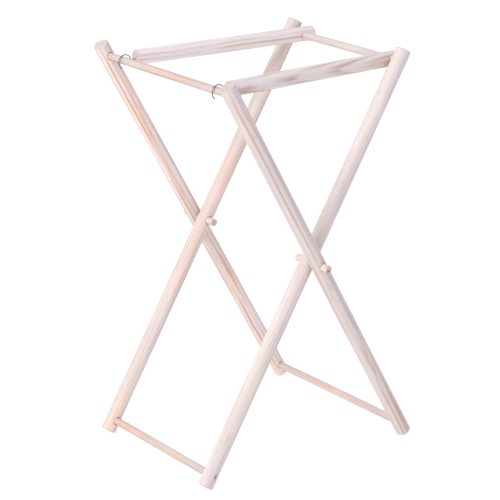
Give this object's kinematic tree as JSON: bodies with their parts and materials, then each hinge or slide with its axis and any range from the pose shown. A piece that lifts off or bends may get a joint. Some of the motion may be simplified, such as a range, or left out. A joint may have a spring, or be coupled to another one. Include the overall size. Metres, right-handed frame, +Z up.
{
  "type": "clothes drying rack",
  "caption": "Folding X-frame stand of round pine dowels, with hinged hanging bars that latch over the opposite top rod by wire cup hooks, for drying clothes or holding a bag.",
  "frame": {"origin": "on the floor, at the middle of the stand's box, about 4 mm from the point below the pivot pins", "axes": "+Z up; +X from the hook end to the hinge end of the bars, the way the X opens; +Y along the rods and pivot pins"},
  "size_m": [0.4259, 0.3838, 0.6752],
  "materials": {
    "pine_leg": "sanded, unfinished pine",
    "pine_bar": "sanded, unfinished pine",
    "pine_rod": "sanded, unfinished pine",
    "hook_wire": "dull zinc-plated wire",
    "brad_steel": "dull steel"
  },
  "bodies": {
    "inner_frame": {"brad_inner_top_left": "brad_steel", "brad_inner_bottom_left": "brad_steel", "leg_inner_left": "pine_leg", "brad_inner_top_right": "brad_steel", "brad_inner_bottom_right": "brad_steel", "leg_inner_right": "pine_leg", "top_rod_inner": "pine_rod", "bottom_rod_inner": "pine_rod"},
    "outer_frame": {"brad_outer_top_left": "brad_steel", "brad_outer_bottom_left": "brad_steel", "brad_pin_left": "brad_steel", "pivot_pin_left": "pine_rod", "leg_outer_left": "pine_leg", "brad_outer_top_right": "brad_steel", "brad_outer_bottom_right": "brad_steel", "brad_pin_right": "brad_steel", "pivot_pin_right": "pine_rod", "leg_outer_right": "pine_leg", "top_rod_outer": "pine_rod", "bottom_rod_outer": "pine_rod"},
    "left_bar": {"hanging_bar_left": "pine_bar", "cup_hook_left": "hook_wire"},
    "right_bar": {"hanging_bar_right": "pine_bar", "cup_hook_right": "hook_wire"}
  },
  "joints": [
    {"name": "fold", "type": "hinge", "parent": "inner_frame", "child": "outer_frame", "pos_m": [0.00393, 0, 0.34389], "axis": [0, 1, 0], "range_deg": [0, 57]},
    {"name": "left_bar_swing", "type": "hinge", "parent": "inner_frame", "child": "left_bar", "pos_m": [0.18824, 0, 0.64636], "axis": [0, 1, 0], "range_deg": [0, 121.4]},
    {"name": "right_bar_swing", "type": "hinge", "parent": "inner_frame", "child": "right_bar", "pos_m": [0.18824, 0, 0.64636], "axis": [0, 1, 0], "range_deg": [0, 121.4]}
  ],
  "couplings": [
    {"joint": "left_bar_swing", "follows": "fold", "ratio": 2.1291},
    {"joint": "right_bar_swing", "follows": "fold", "ratio": 2.1291}
  ]
}
